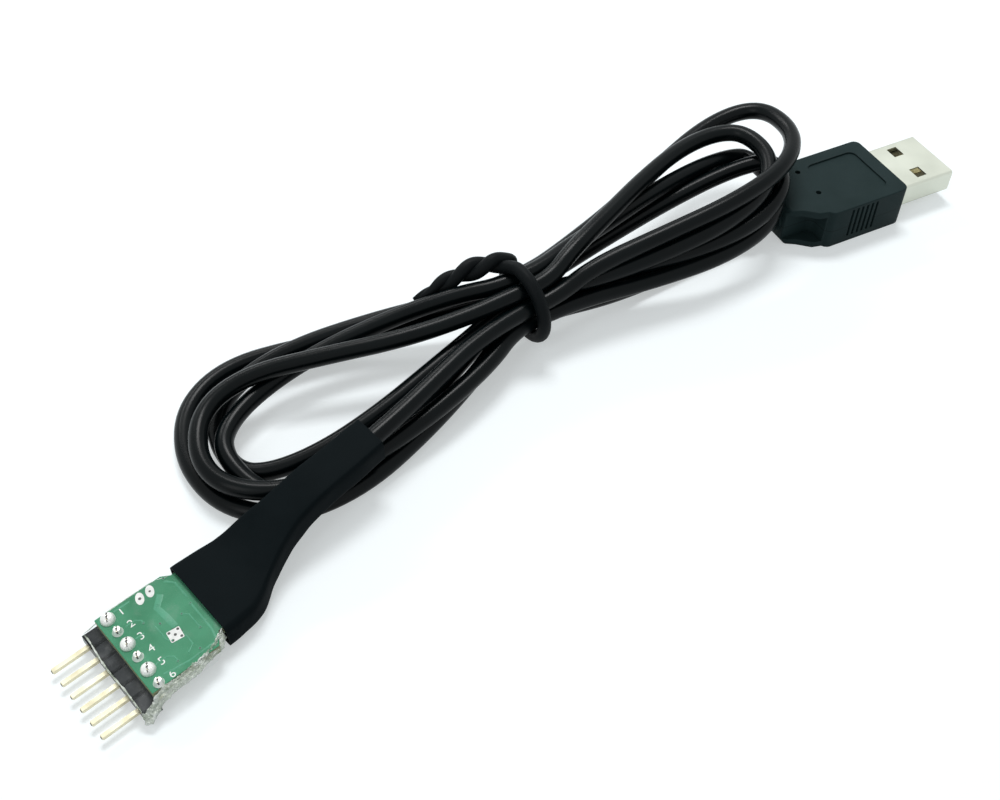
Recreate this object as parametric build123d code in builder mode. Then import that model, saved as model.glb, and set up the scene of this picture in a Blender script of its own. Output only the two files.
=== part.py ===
from build123d import *
import os
from math import acos, atan2, cos, degrees, hypot, pi, radians, sin, tan

# Adapter cable: a small circuit board with a six-pin right-angle header at one end, under a clear
# shrink film, and a moulded plug at the other. The cord between them is wound into a hank and held
# by a twisted rubber tie. The origin is the middle of the header's front face, on the pins' axis.
# +X points from the pins to the cord, +Z up. Heights with "lift" in their name are above the table.

os.makedirs("parts", exist_ok=True)

# Header
pin_count = 6
pitch = 2.54
pin_side = 0.64
pin_reach = 5.6
pin_end_chamfer = 0.18
housing_side = 2.54
housing_notch = 0.42
leg_x = 3.75
pin_bend = 0.5
leg_above_board = 0.75
header_length = pin_count * pitch
pin_ys = [(pin_count - 1) * pitch / 2 - i * pitch for i in range(pin_count)]

# Circuit board
board_thickness = 1.6
board_start_x = 2.3
board_end_x = 20.0
board_mid_y = 0.2
board_inset = 0.32
board_front_width = header_length - 2 * board_inset
board_rear_mid_y = 0.8
board_rear_width = 11.8
board_step_x = 12.6
board_step_run = 1.2
board_corner = 1.0
leg_hole_d = 1.0
board_bottom_z = housing_side / 2
board_top_z = board_bottom_z + board_thickness

# Clear film round the header and the board
film_wall = 0.15
film_slack = 0.06
film_start_x = 0.2
film_end_x = 16.4
film_ramp = 0.7
film_shoulder = 1.6
film_ridge_front = 1.0
film_ridge_rear = 0.7
film_ridge_run = 1.9
table_z = -housing_side / 2 - film_slack - film_wall

# Underside parts
chip_length = 9.9
chip_width = 3.9
chip_height = 1.45
chip_standoff = 0.1
chip_mid_x = 11.6
lead_count = 8
lead_pitch = 1.27
lead_width = 0.4
lead_thickness = 0.2
lead_span = 6.0
crystal_size = (1.8, 4.6, 1.0)
crystal_at = (5.45, 0.5)
capacitor_size = (1.6, 0.8, 0.8)
capacitor_places = [(7.2, -5.3), (12.4, -5.0), (9.6, 6.2)]

# Solder
joint_base_r = 0.74
joint_top_r = 0.5
joint_height = 0.7

# Holes that show on the board's upper side
oval_pad_holes = [(8.65, 6.3), (10.25, 6.4)]
square_pad_at = (9.3, -1.6)
square_pad_turn = 35
square_pad_hole_gap = 1.15
small_hole_d = 0.35

# Cord, wires and the black sleeve
cord_d = 3.0
wire_d = 0.9
wire_board_x = 18.9
wire_pitch = 2.1
wire_core_offset = 0.56
wire_joint = (1.4, 1.3, 0.55)
sleeve_wall = 0.45
sleeve_sections = [
    # along X, middle Y, middle lift, width, height, corner
    (14.4, 0.8, 2.72, 14.3, 4.9, 1.30),
    (17.2, 0.9, 2.72, 14.1, 4.9, 1.30),
    (20.4, 1.3, 2.78, 14.2, 4.8, 1.40),
    (23.2, 2.2, 3.10, 11.6, 4.5, 1.70),
    (26.4, 2.9, 3.95, 9.4, 4.8, 1.95),
    (30.3, 3.2, 5.60, 7.2, 4.8, 2.00),
    (35.2, 3.3, 7.35, 6.7, 4.5, 1.90),
    (41.8, 3.5, 8.20, 6.6, 4.2, 1.85),
    (47.7, 4.0, 8.50, 6.4, 4.2, 1.85),
]

# Hank: four turns pass nine times through the tie, one run in the middle and eight round it
tie_d = 2.4
tie_clearance = 0.01
tie_twist = [
    # x, y, lift and width along the twisted end, from the ring to its tip
    (84.9, 14.1, 14.0, 3.6),
    (82.4, 16.4, 14.0, 4.2),
    (79.1, 18.1, 13.1, 4.2),
    (75.7, 19.5, 12.2, 3.4),
    (73.3, 20.4, 11.3, 2.2),
    (70.7, 21.2, 10.4, 1.0),
]
lanes_round = 8
lane_circle_r = cord_d / 2 / sin(pi / lanes_round) + 0.003
waist_r = lane_circle_r + cord_d / 2
tie_at = (85.1, 10.65)
hank_lean = -10.4
tie_lift = waist_r + tie_clearance + tie_d
waist_half = 7.0
steps = 10
lane_turns = {1: 157.5, 2: 22.5, 4: 112.5, 5: 202.5, 6: 67.5, 7: 292.5, 8: 337.5, 9: 247.5}
# each loop: end x, y, lift; bulge on the way out and back; how late each bulge comes; skew
right_loops = [
    (149.3, 9.2, 13.0, 17.8, 14.3, 2.9, 4.0, -0.02),
    (142.4, 8.6, 11.5, 12.4, 14.2, 1.1, 3.1, 0.04),
    (142.0, 8.4, 9.9, 17.6, 7.9, 1.8, 4.0, 0.02),
    (140.7, 0.8, 10.3, 12.7, 7.3, 1.6, 0.0, -0.04),
]
left_loops = [
    (29.0, 19.2, 1.5, 23.3, 12.3, 1.8, 2.4, 0.08),
    (26.7, 21.3, 4.2, 21.8, 16.7, 4.0, 1.2, -0.04),
    (30.0, 19.9, 2.8, 12.0, 21.4, 1.3, 2.3, -0.04),
    (26.1, 24.8, 1.5, 25.3, 26.4, 3.1, 1.6, -0.04),
]
lead_route = [
    (26.3, 2.8, 3.9),
    (30.5, 3.2, 5.7),
    (35.8, 3.3, 7.4),
    (42.0, 3.5, 8.2),
    (48.2, 4.0, 8.5),
    (55.8, 5.1, 8.6),
    (64.0, 6.5, 8.9),
    (70.8, 7.6, 9.2),
]
tail_route = [
    (98.5, 6.0, 3.3),
    (106.5, 4.2, 1.8),
    (114.8, 2.6, 1.6),
]
tail_straight = 7.0

# Plug
plug_face = (158.1, -8.3)
plug_heading = -16.6
boot_length = 17.0
boot_width = 15.8
boot_height = 8.0
boot_corner = 1.3
boot_edge = 0.7
shoulder_in = 1.5
neck_length = 5.5
neck_width = 8.4
neck_height = 6.6
relief_length = 7.5
relief_d = 5.2
relief_end_d = 4.2
relief_groove = 0.45
relief_groove_count = 3
relief_groove_width = 0.75
panel_length = 10.6
panel_width = 11.0
panel_depth = 0.3
panel_mid = -8.1
grip_count = 5
grip_pitch = 1.4
grip_width = 0.7
grip_depth = 0.5
grip_mid = -11.3
mark_places = [(-15.6, 4.7), (-15.6, -1.7)]
mark_d = 0.9
shell_length = 12.0
shell_seat = 4.0
shell_width = 12.0
shell_height = 4.5
shell_wall = 0.3
shell_corner = 0.6
window_length = 2.1
window_width = 2.5
window_along = 6.0
window_gap = 6.6
tongue_height = 1.95
tongue_short = 1.2
block_length = 5.0
contact_ys = [-3.5, -1.0, 1.0, 3.5]
contact_width = 1.1
contact_thickness = 0.2
contact_outer_length = 7.4
contact_inner_length = 6.4


def lane(run):
    """Where a run of the cord passes through the middle of the tie: x, y and lift."""
    if run in lane_turns:
        turn = radians(lane_turns[run])
        across, above = lane_circle_r * cos(turn), lane_circle_r * sin(turn)
    else:
        across, above = 0.0, 0.0
    lean = radians(hank_lean)
    return (tie_at[0] - sin(lean) * across, tie_at[1] + cos(lean) * across, tie_lift + above)


def loop_points(start, end, shape):
    """Points round one loop of the hank, from one lane out to the loop's end and back to another."""
    tip_x, tip_y, tip_lift, bulge_out, bulge_back, late_out, late_back, skew = shape
    mid = [(a + b) / 2 for a, b in zip(start, end)]
    along = (tip_x - mid[0], tip_y - mid[1])
    reach = hypot(*along)
    side = (along[1] / reach, -along[0] / reach)
    points = []
    for step in range(1, steps):
        t = 2 * pi * step / steps
        out = t < pi
        far = (1 - cos(t)) / 2
        bulge = (bulge_out if out else bulge_back) * sin(t)
        bulge = bulge * abs(sin(t / 2)) ** (late_out if out else late_back)
        pushed = far + skew * sin(t) * far
        near_lane = start if out else end
        back = 1 - far
        x = mid[0] + along[0] * pushed + side[0] * bulge + back * (near_lane[0] - mid[0])
        y = mid[1] + along[1] * pushed + side[1] * bulge + back * (near_lane[1] - mid[1])
        points.append((x, y, back * near_lane[2] + far * tip_lift))
    return points


def bend_radii(points):
    """Radius of the arc at each corner of a tube's path, as large as its two runs allow."""
    radii = []
    for before, at, after in zip(points, points[1:], points[2:]):
        run_in = Vector(*at) - Vector(*before)
        run_out = Vector(*after) - Vector(*at)
        turn = radians(run_in.get_angle(run_out))
        radii.append(0.45 * min(run_in.length, run_out.length) / tan(turn / 2))
    return radii


def lifted(point):
    """A point whose height is given above the table."""
    return (point[0], point[1], table_z + point[2])


def tube_path(points):
    """Straight runs joined by tangent arcs."""
    with BuildLine() as path:
        FilletPolyline(*points, radius=bend_radii(points))
    return path.line


# Header housing: one moulded bar with a notch between positions and a square hole for each pin
with BuildPart() as header_housing:
    with BuildSketch(Plane.YZ):
        Rectangle(header_length, housing_side)
        for i in range(1, pin_count):
            y = -header_length / 2 + i * pitch
            with Locations((y, housing_side / 2), (y, -housing_side / 2)):
                Rectangle(housing_notch, housing_notch, rotation=45, mode=Mode.SUBTRACT)
        with Locations([(y, 0) for y in pin_ys]):
            Rectangle(pin_side, pin_side, mode=Mode.SUBTRACT)
    extrude(amount=housing_side)
header_housing.part.label = "header_housing"
export_step(header_housing.part, "parts/header_housing.step")

# Header pins: square wire bent once, with cut ends
for number, pin_y in enumerate(pin_ys, start=1):
    leg_top_z = board_top_z + leg_above_board
    half = pin_side / 2
    with BuildPart() as header_pin:
        with BuildSketch(Plane.XZ.offset(-pin_y)) as bent:
            with BuildLine():
                Polyline(
                    (-pin_reach, -half),
                    (leg_x + half, -half),
                    (leg_x + half, leg_top_z),
                    (leg_x - half, leg_top_z),
                    (leg_x - half, half),
                    (-pin_reach, half),
                    close=True,
                )
            make_face()
            fillet(bent.vertices().sort_by_distance((leg_x - half, half, 0))[0], pin_bend)
            fillet(bent.vertices().sort_by_distance((leg_x + half, -half, 0))[0], pin_bend + pin_side)
        extrude(amount=half, both=True)
        chamfer(header_pin.faces().sort_by(Axis.X)[0].edges(), pin_end_chamfer)
    header_pin.part.label = f"header_pin_{number}"
    export_step(header_pin.part, f"parts/header_pin_{number}.step")

# Circuit board: wide at the header, stepped in where the sleeve grips it
board_outline = []
for side in (1, -1):
    front_y = board_mid_y + side * board_front_width / 2
    rear_y = board_rear_mid_y + side * board_rear_width / 2
    edge = [
        (board_start_x, front_y),
        (board_step_x, front_y),
        (board_step_x + board_step_run, rear_y),
        (board_end_x - board_corner, rear_y),
        (board_end_x, rear_y - side * board_corner),
    ]
    board_outline += edge if side == 1 else edge[::-1]
with BuildPart() as circuit_board:
    with BuildSketch(Plane.XY.offset(board_bottom_z)):
        with BuildLine():
            Polyline(*board_outline, close=True)
        make_face()
        with Locations([(leg_x, y) for y in pin_ys]):
            Circle(leg_hole_d / 2, mode=Mode.SUBTRACT)
        with Locations(oval_pad_holes):
            Circle(small_hole_d / 2, mode=Mode.SUBTRACT)
        with Locations(Location((*square_pad_at, 0), (0, 0, square_pad_turn))):
            Circle(small_hole_d / 2, mode=Mode.SUBTRACT)
            with GridLocations(square_pad_hole_gap, square_pad_hole_gap, 2, 2):
                Circle(small_hole_d / 2, mode=Mode.SUBTRACT)
    extrude(amount=board_thickness)
circuit_board.part.label = "circuit_board"
export_step(circuit_board.part, "parts/circuit_board.step")

# Solder joints: a cone of solder round each leg, on the board's upper side
with BuildPart() as solder_joints:
    with Locations([(leg_x, y, board_top_z) for y in pin_ys]):
        Cone(joint_base_r, joint_top_r, joint_height, align=(Align.CENTER, Align.CENTER, Align.MIN))
        Box(pin_side, pin_side, 3 * joint_height, mode=Mode.SUBTRACT)
solder_joints.part.label = "solder_joints"
export_step(solder_joints.part, "parts/solder_joints.step")

# Chip under the board, with gull-wing leads
chip_top_z = board_bottom_z - chip_standoff
chip_mid_z = chip_top_z - chip_height / 2
with BuildPart() as chip_body:
    with Locations((chip_mid_x, board_mid_y, chip_mid_z)):
        Box(chip_length, chip_width, chip_height)
    chamfer(chip_body.faces().sort_by(Axis.Z)[0].edges(), chip_height / 5)
chip_body.part.label = "chip_body"
export_step(chip_body.part, "parts/chip_body.step")

lead_half_span = lead_span / 2
lead_knee = (chip_width / 2 + lead_half_span) / 2
lead_profile = [
    (chip_width / 2, chip_mid_z - lead_thickness / 2),
    (lead_knee, chip_mid_z - lead_thickness / 2),
    (lead_knee + lead_thickness, board_bottom_z - lead_thickness),
    (lead_half_span, board_bottom_z - lead_thickness),
    (lead_half_span, board_bottom_z),
    (lead_knee, board_bottom_z),
    (lead_knee - lead_thickness, chip_mid_z + lead_thickness / 2),
    (chip_width / 2, chip_mid_z + lead_thickness / 2),
]
with BuildPart() as chip_leads:
    for i in range(lead_count):
        x = chip_mid_x + (i - (lead_count - 1) / 2) * lead_pitch
        for side in (1, -1):
            with BuildSketch(Plane.YZ.offset(x - lead_width / 2)):
                with BuildLine():
                    Polyline([(board_mid_y + side * y, z) for y, z in lead_profile], close=True)
                make_face()
            extrude(amount=lead_width)
chip_leads.part.label = "chip_leads"
export_step(chip_leads.part, "parts/chip_leads.step")

# Crystal and capacitors under the board
with BuildPart() as crystal:
    with Locations((*crystal_at, board_bottom_z)):
        Box(*crystal_size, align=(Align.CENTER, Align.CENTER, Align.MAX))
    fillet(crystal.edges().filter_by(Axis.Z), crystal_size[2] / 4)
crystal.part.label = "crystal"
export_step(crystal.part, "parts/crystal.step")

with BuildPart() as capacitors:
    with Locations([(*place, board_bottom_z) for place in capacitor_places]):
        Box(*capacitor_size, align=(Align.CENTER, Align.CENTER, Align.MAX))
capacitors.part.label = "capacitors"
export_step(capacitors.part, "parts/capacitors.step")


def film_form(skin, overrun):
    """The space inside the film grown by a skin, run past both open ends by an overrun."""
    grown = film_slack + skin
    low_z = -housing_side / 2 - grown
    chip_z = chip_top_z - chip_height - grown
    front_z = housing_side / 2 + grown
    joint_z = board_top_z + leg_above_board + grown
    flat_z = board_top_z + grown
    start = film_start_x - overrun
    end = film_end_x + overrun
    near_front = board_mid_y - board_front_width / 2 - grown
    far_front = board_mid_y + board_front_width / 2 + grown
    near_rear = board_rear_mid_y - board_rear_width / 2 - grown
    far_rear = board_rear_mid_y + board_rear_width / 2 + grown
    header_y = header_length / 2 + grown
    with BuildPart() as form:
        with BuildSketch(Plane.XZ):
            with BuildLine():
                Polyline(
                    (start, low_z),
                    (housing_side + grown, low_z),
                    (housing_side + 1.5 * film_shoulder, chip_z),
                    (end, chip_z),
                    (end, flat_z),
                    (leg_x + film_ridge_rear + film_ridge_run, flat_z),
                    (leg_x + film_ridge_rear, joint_z),
                    (leg_x - film_ridge_front, joint_z),
                    (film_start_x + film_ramp, front_z),
                    (start, front_z),
                    close=True,
                )
            make_face()
        extrude(amount=header_length, both=True)
        with BuildSketch(Plane.XY.offset(low_z)):
            with BuildLine():
                Polyline(
                    (start, -header_y),
                    (housing_side + grown, -header_y),
                    (housing_side + film_shoulder, near_front),
                    (board_step_x, near_front),
                    (board_step_x + board_step_run, near_rear),
                    (end, near_rear),
                    (end, far_rear),
                    (board_step_x + board_step_run, far_rear),
                    (board_step_x, far_front),
                    (housing_side + film_shoulder, far_front),
                    (housing_side + grown, header_y),
                    (start, header_y),
                    close=True,
                )
            make_face()
        extrude(amount=joint_z - low_z, mode=Mode.INTERSECT)
    return form.part


# Clear film, shrunk over the header, the board and what is on it
film_outside = film_form(film_wall, 0)
film_inside = film_form(0, 1)
with BuildPart() as clear_film:
    add(film_outside)
    add(film_inside, mode=Mode.SUBTRACT)
clear_film.part.label = "clear_film"
export_step(clear_film.part, "parts/clear_film.step")


# Black sleeve, shrunk over the film's end, the wires and the end of the cord
def sleeve_form(skin):
    """The space inside the sleeve's outer face, less a skin."""
    with BuildPart() as form:
        for x, y, lift, width, height, corner in sleeve_sections:
            with BuildSketch(Plane.YZ.offset(x)):
                with Locations((y, table_z + lift)):
                    RectangleRounded(width - 2 * skin, height - 2 * skin, corner - skin)
        loft(ruled=True)
    return form.part


sleeve_outside = sleeve_form(0)
sleeve_inside = sleeve_form(sleeve_wall)
with BuildPart() as black_sleeve:
    add(sleeve_outside)
    add(sleeve_inside, mode=Mode.SUBTRACT)
black_sleeve.part.label = "black_sleeve"
export_step(black_sleeve.part, "parts/black_sleeve.step")

# Cord: a tube from the sleeve to the hank, and one from the hank to the plug
lean_dir = Vector(cos(radians(hank_lean)), sin(radians(hank_lean)), 0)


def beside_tie(run, distance):
    """A point on a run of the cord, this far along the hank from the middle of the tie."""
    x, y, lift = lane(run)
    return (x + lean_dir.X * distance, y + lean_dir.Y * distance, lift)


heading = radians(plug_heading)
plug_axis_z = table_z + boot_height / 2
boot_back = boot_length + neck_length + relief_length


def plug_point(along, across=0.0, above=0.0):
    """A point in the plug's own directions, from the middle of the moulding's front face."""
    x = plug_face[0] + along * cos(heading) - across * sin(heading)
    y = plug_face[1] + along * sin(heading) + across * cos(heading)
    return (x, y, plug_axis_z + above)


lead_points = [lifted(p) for p in lead_route]
lead_points.append(lifted(beside_tie(1, -waist_half)))
tail_points = [lifted(beside_tie(9, waist_half))]
tail_points += [lifted(p) for p in tail_route]
tail_points += [plug_point(-boot_back - tail_straight), plug_point(-boot_back)]
for name, points in (("lead", lead_points), ("tail", tail_points)):
    print("cord", name, "arc radii", [round(r, 1) for r in bend_radii(points)])

lead_line = tube_path(lead_points)
with BuildPart() as cord_lead:
    with BuildSketch(Plane(origin=lead_line @ 0, z_dir=lead_line % 0)):
        Circle(cord_d / 2)
    sweep(path=lead_line)
cord_lead.part.label = "cord_lead"
export_step(cord_lead.part, "parts/cord_lead.step")

tail_line = tube_path(tail_points)
with BuildPart() as cord_tail:
    with BuildSketch(Plane(origin=tail_line @ 0, z_dir=tail_line % 0)):
        Circle(cord_d / 2)
    sweep(path=tail_line)
cord_tail.part.label = "cord_tail"
export_step(cord_tail.part, "parts/cord_tail.step")

def stations_along(points):
    """A plane across the path at each of its points."""
    planes = []
    for i, point in enumerate(points):
        ahead = Vector(*points[min(i + 1, len(points) - 1)]) - Vector(*points[max(i - 1, 0)])
        planes.append(Plane(origin=point, z_dir=ahead))
    return planes


# Tie: a ring of rubber-covered wire round the waist of the hank, and its twisted end
with BuildPart() as twisted_end:
    twist_points = [lifted(p[:3]) for p in tie_twist]
    for plane, (_, _, _, width) in zip(stations_along(twist_points), tie_twist):
        with BuildSketch(plane):
            Circle(width / 2)
    loft(ruled=True)

tie_middle = Vector(*tie_at, table_z + tie_lift)
with BuildPart() as twist_tie:
    with Locations(Plane(origin=tie_middle, z_dir=lean_dir)):
        Torus(waist_r + tie_clearance + tie_d / 2, tie_d / 2)
    add(twisted_end.part)
twist_tie.part.label = "twist_tie"
export_step(twist_tie.part, "parts/twist_tie.step")

# Hank: the outer shape of four turns, with the eye of each loop open
turns = len(right_loops)
right_turns = []
left_turns = []
for turn in range(turns):
    run = 2 * turn + 1
    right_turns.append(loop_points(lane(run), lane(run + 1), right_loops[turn]))
    left_turns.append(loop_points(lane(run + 1), lane(run + 2), left_loops[turn]))


def band_planes(side_turns):
    """For each station round a loop: the plane across the band of cords, its width and height."""
    middles = []
    for station in zip(*side_turns):
        middles.append(sum((Vector(*p) for p in station), Vector()) / len(station))
    planes = []
    for i, station in enumerate(zip(*side_turns)):
        ahead = middles[min(i + 1, len(middles) - 1)] - middles[max(i - 1, 0)]
        ahead = Vector(ahead.X, ahead.Y, 0).normalized()
        across = Vector(-ahead.Y, ahead.X, 0)
        offsets = [(Vector(*p) - middles[i]).dot(across) for p in station]
        lifts = [p[2] for p in station]
        origin = middles[i] + across * ((min(offsets) + max(offsets)) / 2)
        origin = Vector(origin.X, origin.Y, table_z + (min(lifts) + max(lifts)) / 2)
        plane = Plane(origin=origin, x_dir=across, z_dir=ahead)
        width = max(offsets) - min(offsets) + cord_d
        height = max(lifts) - min(lifts) + cord_d
        planes.append((plane, width, height))
    return planes


with BuildPart() as cord_hank:
    for side_turns in (left_turns, right_turns):
        stations = band_planes(side_turns)
        tip = len(stations) // 2
        for half_band in (stations[: tip + 1], stations[tip:]):
            for plane, width, height in half_band:
                with BuildSketch(plane) as band:
                    Rectangle(width, height)
                    chamfer(band.vertices(), cord_d * 0.3)
            loft(ruled=True)
    waist_start = Vector(*tie_at, table_z + tie_lift) - lean_dir * waist_half
    with BuildSketch(Plane(origin=waist_start, z_dir=lean_dir)):
        Circle(waist_r)
    extrude(amount=2 * waist_half)
    for neighbour in (cord_lead.part, cord_tail.part, sleeve_outside, twisted_end.part):
        add(neighbour, mode=Mode.SUBTRACT)
cord_hank.part.label = "cord_hank"
export_step(cord_hank.part, "parts/cord_hank.step")

# Wires from the cord's jacket to the underside of the board, and their solder
core_out = Vector(*lead_points[0]) - Vector(*lead_points[1])
core_plane = Plane(origin=lead_points[0], x_dir=(0, 1, 0), z_dir=core_out)
wire_names = ["red", "white", "green", "black"]
wire_core = [(-1, 1), (-1, -1), (1, -1), (1, 1)]
wire_ys = [board_mid_y + (i - 1.5) * wire_pitch for i in range(len(wire_names))]
wire_z = board_bottom_z - wire_d / 2
for name, y, (turn_x, turn_y) in zip(wire_names, wire_ys, wire_core):
    in_core = (turn_x * wire_core_offset, turn_y * wire_core_offset)
    wire_line = tube_path([
        (wire_board_x, y, wire_z),
        (board_end_x + wire_d, y, wire_z),
        core_plane.from_local_coords(Vector(*in_core, 0)),
    ])
    with BuildPart() as wire:
        with BuildSketch(Plane(origin=wire_line @ 0, z_dir=wire_line % 0)):
            Circle(wire_d / 2)
        sweep(path=wire_line)
        add(cord_lead.part, mode=Mode.SUBTRACT)
    wire.part.label = f"wire_{name}"
    export_step(wire.part, f"parts/wire_{name}.step")

with BuildPart() as wire_joints:
    with Locations([(wire_board_x, y, board_bottom_z) for y in wire_ys]):
        Box(*wire_joint, align=(Align.MAX, Align.CENTER, Align.MAX))
wire_joints.part.label = "wire_joints"
export_step(wire_joints.part, "parts/wire_joints.step")

# Plug moulding: a flat grip with a shallow bare panel on top, ribbed sides, a neck and a ringed relief
forward = Vector(cos(heading), sin(heading), 0)
leftward = Vector(-sin(heading), cos(heading), 0)


def plug_section(along):
    """A plane across the plug, looking back along it, with X across and Y up."""
    return Plane(origin=plug_point(along), x_dir=-leftward, z_dir=-forward)


def plug_level(above):
    """A plane through the plug at a height above its axis, with X forward and Y to the left."""
    return Plane(origin=plug_point(0, 0, above), x_dir=forward, z_dir=(0, 0, 1))


with BuildPart() as plug_boot:
    with BuildSketch(plug_level(-boot_height / 2)):
        with Locations((-boot_length / 2, 0)):
            RectangleRounded(boot_length, boot_width, boot_corner)
    extrude(amount=boot_height)
    fillet(plug_boot.faces().sort_by(Axis.Z)[-1].edges(), boot_edge)
    fillet(plug_boot.faces().sort_by(Axis.Z)[0].edges(), boot_edge)
    with BuildSketch(plug_section(-boot_length + boot_edge)):
        RectangleRounded(boot_width - 2 * shoulder_in, boot_height - 2 * boot_edge, boot_corner)
    with BuildSketch(plug_section(-boot_length - neck_length)):
        RectangleRounded(neck_width, neck_height, boot_corner)
    loft(ruled=True)
    with BuildSketch(plug_section(-boot_length - neck_length + boot_edge)):
        Circle(relief_d / 2)
    with BuildSketch(plug_section(-boot_back)):
        Circle(relief_end_d / 2)
    loft(ruled=True)
    groove_pitch = relief_length / (relief_groove_count + 1)
    for i in range(relief_groove_count):
        with BuildSketch(plug_section(-boot_length - neck_length - (i + 0.7) * groove_pitch)):
            Circle(relief_d)
            Circle((relief_end_d - relief_groove) / 2, mode=Mode.SUBTRACT)
        extrude(amount=relief_groove_width, mode=Mode.SUBTRACT)
    with BuildSketch(plug_level(boot_height / 2)):
        with Locations((panel_mid, 0)):
            RectangleRounded(panel_length, panel_width, boot_corner)
        with Locations(mark_places):
            Circle(mark_d / 2)
    extrude(amount=-panel_depth, mode=Mode.SUBTRACT)
    with BuildSketch(plug_level(-boot_height / 2 + 2 * boot_edge)):
        for side in (1, -1):
            with Locations((grip_mid, side * boot_width / 2)):
                with GridLocations(grip_pitch, 0, grip_count, 1):
                    Rectangle(grip_width, 2 * grip_depth)
    extrude(amount=boot_height - 3 * boot_edge, mode=Mode.SUBTRACT)
    with BuildSketch(plug_section(0)):
        RectangleRounded(shell_width, shell_height, shell_corner)
    extrude(amount=shell_seat, mode=Mode.SUBTRACT)
plug_boot.part.label = "plug_boot"
export_step(plug_boot.part, "parts/plug_boot.step")

# Plug shell: one folded sheet with its seam underneath and two windows in each broad side
with BuildPart() as plug_shell:
    with BuildSketch(plug_section(shell_length)):
        RectangleRounded(shell_width, shell_height, shell_corner)
        RectangleRounded(
            shell_width - 2 * shell_wall,
            shell_height - 2 * shell_wall,
            shell_corner - shell_wall,
            mode=Mode.SUBTRACT,
        )
    extrude(amount=shell_length + shell_seat)
    with BuildSketch(plug_level(-shell_height)):
        with Locations((window_along, window_gap / 2), (window_along, -window_gap / 2)):
            Rectangle(window_length, window_width)
    extrude(amount=2 * shell_height, mode=Mode.SUBTRACT)
    with BuildSketch(plug_level(-shell_height / 2)):
        with Locations(((shell_length - shell_seat) / 2, 0)):
            Rectangle(shell_length + shell_seat, shell_wall / 3)
    extrude(amount=shell_wall, mode=Mode.SUBTRACT)
plug_shell.part.label = "plug_shell"
export_step(plug_shell.part, "parts/plug_shell.step")

# Plug insulator: a block that fills the shell at the back, and the tongue under the contacts
inner_width = shell_width - 2 * shell_wall
inner_height = shell_height - 2 * shell_wall
tongue_top = -inner_height / 2 + tongue_height
tongue_end = shell_length - tongue_short
with BuildPart() as plug_insulator:
    with BuildSketch(plug_section(-shell_seat + block_length)):
        RectangleRounded(inner_width, inner_height, shell_corner - shell_wall)
    extrude(amount=block_length)
    with BuildSketch(plug_level(-inner_height / 2)):
        with Locations((tongue_end / 2, 0)):
            Rectangle(tongue_end, inner_width - 2 * (shell_corner - shell_wall))
    extrude(amount=tongue_height)
plug_insulator.part.label = "plug_insulator"
export_step(plug_insulator.part, "parts/plug_insulator.step")

# Plug contacts: flat strips on the tongue, the outer two longer
for number, y in enumerate(contact_ys, start=1):
    length = contact_outer_length if abs(y) == max(contact_ys) else contact_inner_length
    with BuildPart() as contact:
        with BuildSketch(plug_level(tongue_top)):
            with Locations((tongue_end - tongue_short - length / 2, y)):
                Rectangle(length, contact_width)
        extrude(amount=contact_thickness)
    contact.part.label = f"plug_contact_{number}"
    export_step(contact.part, f"parts/plug_contact_{number}.step")

for tube, line in ((cord_lead, lead_line), (cord_tail, tail_line)):
    length = sum(edge.length for edge in line.edges())
    share = tube.part.volume / (length * pi * cord_d ** 2 / 4)
    print(tube.part.label, "length", round(length, 1), "volume over section times length", round(share, 4))
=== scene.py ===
from math import atan2, cos, hypot, pi, radians, sin

import bmesh
import bpy
import numpy as np
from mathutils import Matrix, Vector


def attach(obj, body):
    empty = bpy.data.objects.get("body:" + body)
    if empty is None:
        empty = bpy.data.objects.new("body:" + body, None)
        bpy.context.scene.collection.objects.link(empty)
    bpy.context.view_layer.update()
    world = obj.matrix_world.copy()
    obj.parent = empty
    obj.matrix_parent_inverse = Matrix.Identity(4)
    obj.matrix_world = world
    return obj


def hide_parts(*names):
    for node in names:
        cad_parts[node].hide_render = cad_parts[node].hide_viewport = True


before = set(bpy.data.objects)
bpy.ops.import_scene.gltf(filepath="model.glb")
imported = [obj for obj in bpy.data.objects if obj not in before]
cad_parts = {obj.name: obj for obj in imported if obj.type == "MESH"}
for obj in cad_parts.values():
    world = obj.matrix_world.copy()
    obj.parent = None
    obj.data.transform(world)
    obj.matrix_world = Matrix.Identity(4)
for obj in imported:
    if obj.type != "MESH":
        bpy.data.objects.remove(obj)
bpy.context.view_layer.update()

# Adapter cable on a white table. Lengths are in millimetres here and go to metres as they are used.
MM = 0.001
table_z = -1.48


def lifted(point):
    """A point whose height is given above the table, in the row's frame."""
    return (point[0], point[1], table_z + point[2])


# Camera: from above the pins, looking along the cable
camera_at = (-14.25, -91.19, 144.62)
camera_pitch = radians(49.0)
camera_heading = atan2(0.7349, 0.6782)
lens = 43.2

look = Vector((
    cos(camera_pitch) * cos(camera_heading),
    cos(camera_pitch) * sin(camera_heading),
    -sin(camera_pitch),
))
bpy.ops.object.camera_add(
    location=Vector(camera_at) * MM,
    rotation=look.to_track_quat("-Z", "Y").to_euler(),
)
camera = bpy.context.object
camera.name = "camera"
camera.data.lens = lens
camera.data.sensor_width = 36.0
camera.data.clip_start = 0.01
bpy.context.scene.camera = camera

# Header and board
pitch = 2.54
pin_count = 6
pin_ys = [(pin_count - 1) * pitch / 2 - i * pitch for i in range(pin_count)]
pin_reach = 5.6
leg_x = 3.75
board_bottom_z = 1.27
board_top_z = 2.87

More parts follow.
